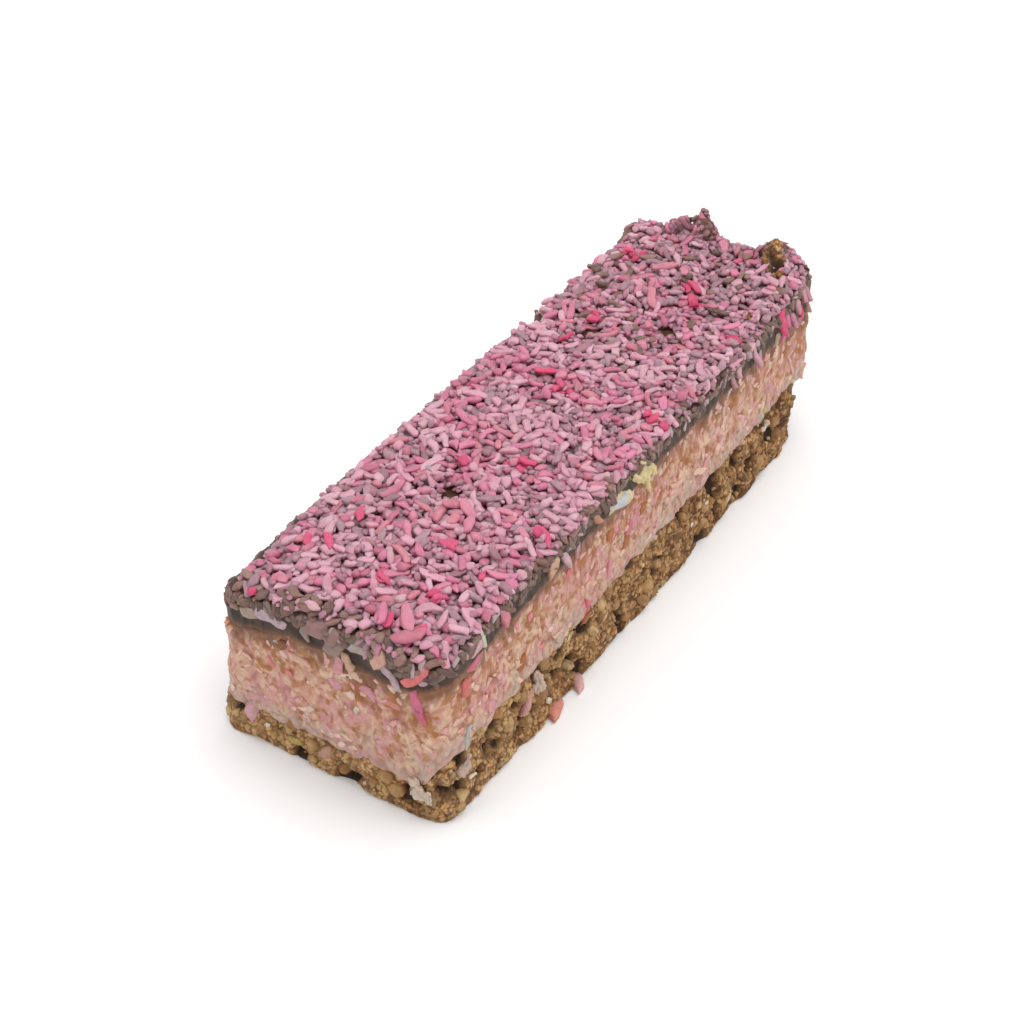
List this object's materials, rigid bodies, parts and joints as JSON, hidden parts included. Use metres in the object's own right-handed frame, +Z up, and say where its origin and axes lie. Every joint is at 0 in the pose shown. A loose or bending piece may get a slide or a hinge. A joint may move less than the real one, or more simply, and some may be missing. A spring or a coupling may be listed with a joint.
{
  "type": "cherry slice",
  "caption": "Finger of tray-baked cherry slice: biscuit crumb base, thick coconut and cherry filling, chocolate top strewn with pink coconut.",
  "frame": {"origin": "centre of the slice's outline, on the flat underside that it rests on", "axes": "+X along the slice from its neat cut end towards its ragged end, +Z up; the base climbs the -Y side"},
  "size_m": [0.1243, 0.0452, 0.0387],
  "materials": {
    "biscuit": "dry, crumbly chocolate biscuit, matt",
    "filling": "moist, fibrous coconut and cherry, softly translucent",
    "chocolate": "set milk chocolate with a dull bloom, satin",
    "coconut": "dry dyed coconut shreds, matt"
  },
  "bodies": {
    "root": {"biscuit_base": "biscuit", "coconut_filling": "filling", "chocolate_topping": "chocolate"}
  },
  "joints": []
}
